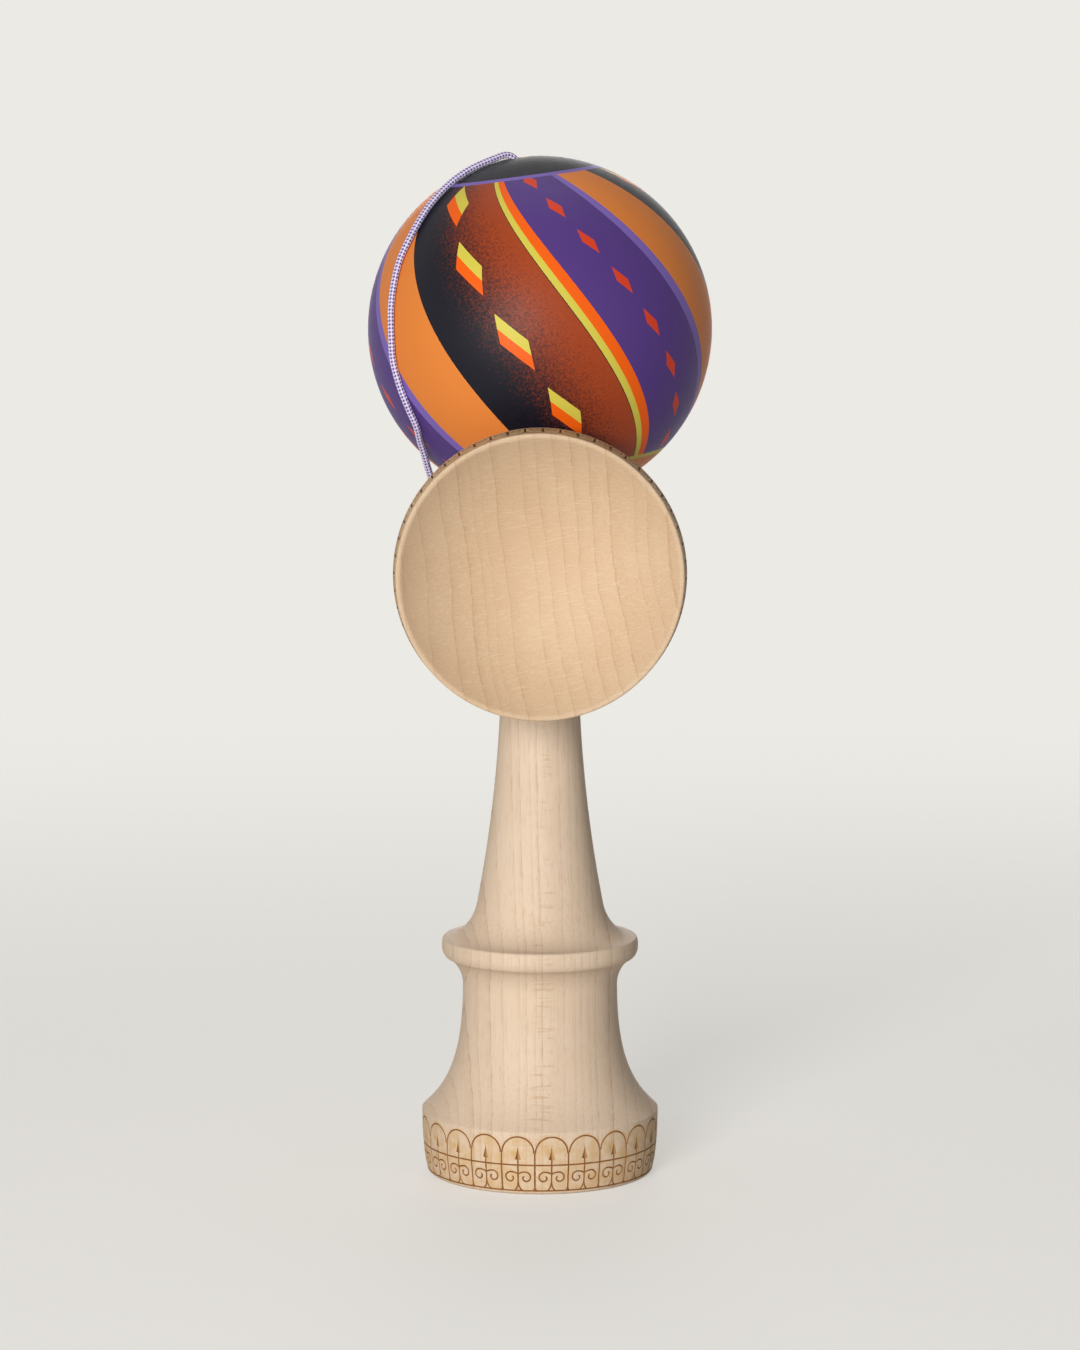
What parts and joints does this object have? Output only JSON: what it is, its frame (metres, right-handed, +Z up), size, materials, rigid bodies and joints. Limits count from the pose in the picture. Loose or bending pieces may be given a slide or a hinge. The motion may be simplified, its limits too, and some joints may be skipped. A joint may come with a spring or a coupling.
{
  "type": "kendama",
  "caption": "Wooden cup-and-ball toy: turned handle with spike and base cup, cross-piece with two cups, and a painted bored ball on a braided string, seated on the spike.",
  "frame": {"origin": "middle of the base cup's flat foot, on the handle's axis, on the surface that it stands on", "axes": "+Z up the handle towards the spike, -Y towards the big cup, +X to the right when the big cup faces the viewer"},
  "size_m": [0.06, 0.07, 0.1807],
  "materials": {
    "handle_wood": "bare maple, finely sanded",
    "cup_wood": "bare maple, finely sanded",
    "ball_paint": "satin paint on wood",
    "bead": "moulded",
    "string": "braided polyester"
  },
  "bodies": {
    "ken": {"ken": "handle_wood", "ken_knot": "string", "string_in_ken": "string"},
    "sarado": {"sarado": "cup_wood"},
    "bead": {"bead": "bead", "bead_knot": "string", "string_outer": "string", "string_slack": "string"},
    "tama": {"tama": "ball_paint"}
  },
  "joints": [
    {"name": "sarado_pull", "type": "slide", "parent": "ken", "child": "sarado", "axis": [0, 0, 1], "range_m": [0, 0.06], "deforming": ["string_in_ken"]},
    {"name": "tama_lift", "type": "slide", "parent": "sarado", "child": "bead", "axis": [0, 0, 1], "range_m": [0, 0.06], "deforming": ["string_outer"]},
    {"name": "tama_spin", "type": "hinge", "parent": "bead", "child": "tama", "pos_m": [0, 0, 0.14985], "axis": [-0.1305, 0, 0.9914], "continuous": true}
  ]
}
